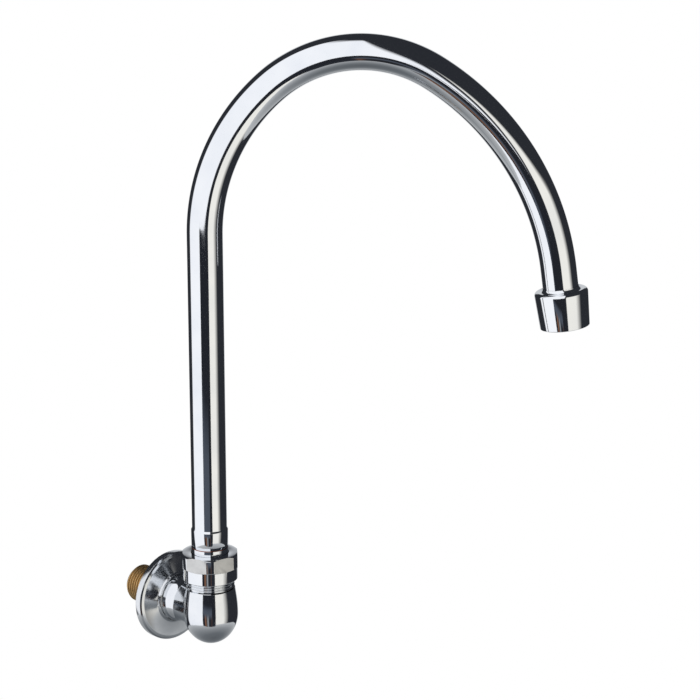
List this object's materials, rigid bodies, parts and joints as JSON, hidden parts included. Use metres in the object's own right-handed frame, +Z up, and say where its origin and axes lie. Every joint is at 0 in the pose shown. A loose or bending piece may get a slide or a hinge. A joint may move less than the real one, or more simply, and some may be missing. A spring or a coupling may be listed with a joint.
{
  "type": "pre rinse faucet",
  "caption": "Wall-mounted swivel gooseneck faucet: threaded brass inlet, round wall flange, bulb elbow, union nut, tall bent tube spout and tapered outlet collar.",
  "frame": {"origin": "where the inlet's axis meets the wall, at the start of the inlet's thread shank", "axes": "+Y along the inlet into the wall, -Y out of the wall, +Z up along the riser; the spout is turned 45 degrees towards +X from straight out at rest"},
  "size_m": [0.1722, 0.2082, 0.3378],
  "materials": {
    "chrome": "polished chrome plate on brass",
    "raw_brass": "raw turned brass, unplated",
    "copper_braze": "line of copper braze",
    "black_rubber": "moulded black rubber",
    "grey_foam": "closed cell foam rubber",
    "fibre": "pressed fibre",
    "ivory_nylon": "moulded nylon",
    "white_plastic": "moulded acetal",
    "grey_plastic": "moulded plastic",
    "steel_mesh": "stainless screen"
  },
  "bodies": {
    "wall_elbow": {"elbow_body": "chrome", "wall_flange": "chrome", "flange_gasket": "grey_foam", "flange_grip_ring": "black_rubber", "inlet_nipple": "raw_brass", "nipple_washer": "fibre"},
    "seat": {"seat_washer": "ivory_nylon"},
    "spout": {"spigot": "chrome", "lower_o_ring": "black_rubber", "upper_o_ring": "black_rubber", "braze_ring": "copper_braze", "spout_tube": "chrome", "outlet_collar": "chrome", "aerator_gasket": "black_rubber", "aerator_sleeve": "grey_plastic", "flow_disc": "white_plastic", "upper_screen": "steel_mesh", "lower_screen": "steel_mesh", "stream_diffuser": "white_plastic"},
    "thrust_ring": {"split_thrust_ring": "ivory_nylon"},
    "nut": {"union_nut": "chrome"}
  },
  "joints": [
    {"name": "spout_lift", "type": "slide", "parent": "wall_elbow", "child": "seat", "axis": [0, 0, 1], "range_m": [0, 0.05]},
    {"name": "spout_swivel", "type": "hinge", "parent": "seat", "child": "spout", "pos_m": [0, -0.034, 0.025], "axis": [0, 0, 1], "range_deg": [-135, 45]},
    {"name": "nut_rise", "type": "slide", "parent": "seat", "child": "thrust_ring", "axis": [0, 0, 1], "range_m": [0, 0.00705]},
    {"name": "nut_turn", "type": "hinge", "parent": "thrust_ring", "child": "nut", "pos_m": [0, -0.034, 0.025], "axis": [0, 0, 1], "range_deg": [0, 1800]}
  ],
  "couplings": [
    {"joint": "nut_turn", "follows": "nut_rise", "rad_per_m": 4456.2}
  ]
}
